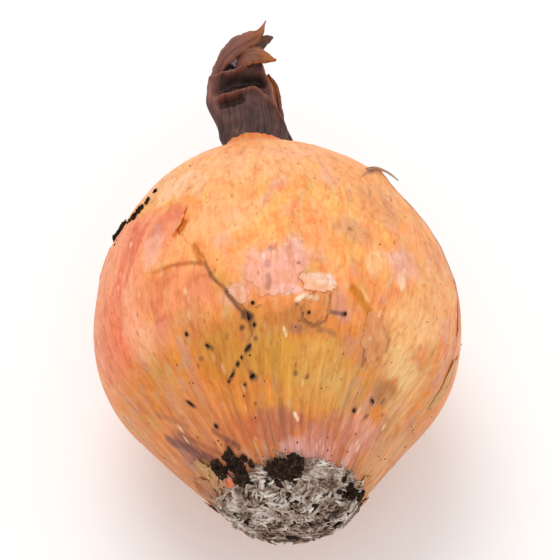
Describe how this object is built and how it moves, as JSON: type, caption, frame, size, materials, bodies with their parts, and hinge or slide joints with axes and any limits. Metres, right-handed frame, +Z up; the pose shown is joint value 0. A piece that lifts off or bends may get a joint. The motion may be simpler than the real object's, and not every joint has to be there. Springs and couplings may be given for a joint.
{
  "type": "onion",
  "caption": "Bulb onion as picked, lying on its side, with torn papery skin, a bent dried neck, a matted root crown and dried soil.",
  "frame": {"origin": "on the flat rest spot under the bulb, below its widest circle", "axes": "+Z up, +Y along the bulb's axis from the roots to the neck, +X to the right seen from the roots' end"},
  "size_m": [0.0758, 0.1213, 0.0745],
  "materials": {
    "dry_skin": "satin",
    "red_skin": "satin",
    "dead_leaf": "satin",
    "leaf_tip": "satin",
    "dried_root": "matte",
    "dried_soil": "matte"
  },
  "bodies": {
    "root": {"bulb": "dry_skin", "torn_skin_left": "red_skin", "skin_flap_right": "dry_skin", "collar_skin": "dry_skin", "neck_sheath": "dead_leaf", "leaf_edge_back": "leaf_tip", "leaf_tip_upper": "leaf_tip", "leaf_tip_middle": "leaf_tip", "leaf_tip_lower": "leaf_tip", "root_crown": "dried_root", "soil_shoulder": "dried_soil", "soil_root_left": "dried_soil", "soil_root_middle": "dried_soil", "soil_root_right": "dried_soil"}
  },
  "joints": []
}
